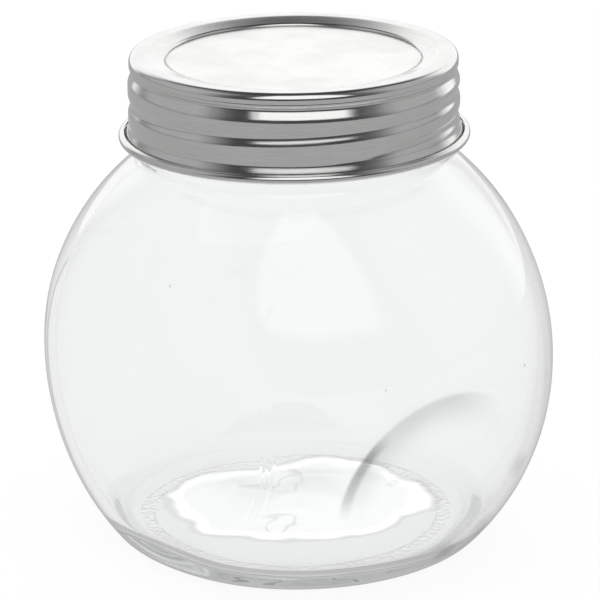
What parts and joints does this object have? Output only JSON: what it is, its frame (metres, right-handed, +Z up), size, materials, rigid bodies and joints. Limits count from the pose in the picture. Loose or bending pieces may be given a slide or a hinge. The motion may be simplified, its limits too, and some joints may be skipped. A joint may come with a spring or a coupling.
{
  "type": "spice jar",
  "caption": "Clear glass globe jar with two flat sides, a wide threaded mouth and a two-piece screw lid: an open-topped metal band and a flat sealing disc.",
  "frame": {"origin": "centre of the base, on the plane of the bearing ring that the jar stands on", "axes": "+Z up along the axis of the neck and lid, flat sides facing -Y and +Y, round sides facing -X and +X"},
  "size_m": [0.113, 0.0854, 0.1085],
  "materials": {
    "jar_glass": "clear flint glass, fire-polished",
    "band_metal": "satin tinplate with fine handling scratches",
    "disc_metal": "satin tinplate",
    "seal_compound": "matt light grey sealing compound"
  },
  "bodies": {
    "jar": {"glass_jar": "jar_glass", "glass_neck": "jar_glass"},
    "lid_plate": {"lid_disc": "disc_metal", "sealing_ring": "seal_compound"},
    "band": {"screw_band": "band_metal"}
  },
  "joints": [
    {"name": "lid_lift", "type": "slide", "parent": "jar", "child": "lid_plate", "axis": [0, 0, 1], "range_m": [0, 0.0254]},
    {"name": "band_turn", "type": "hinge", "parent": "lid_plate", "child": "band", "pos_m": [0, 0, 0.1], "axis": [0, 0, 1], "range_deg": [0, 1800]}
  ],
  "couplings": [
    {"joint": "lid_lift", "follows": "band_turn", "m_per_rad": 0.0008085}
  ]
}
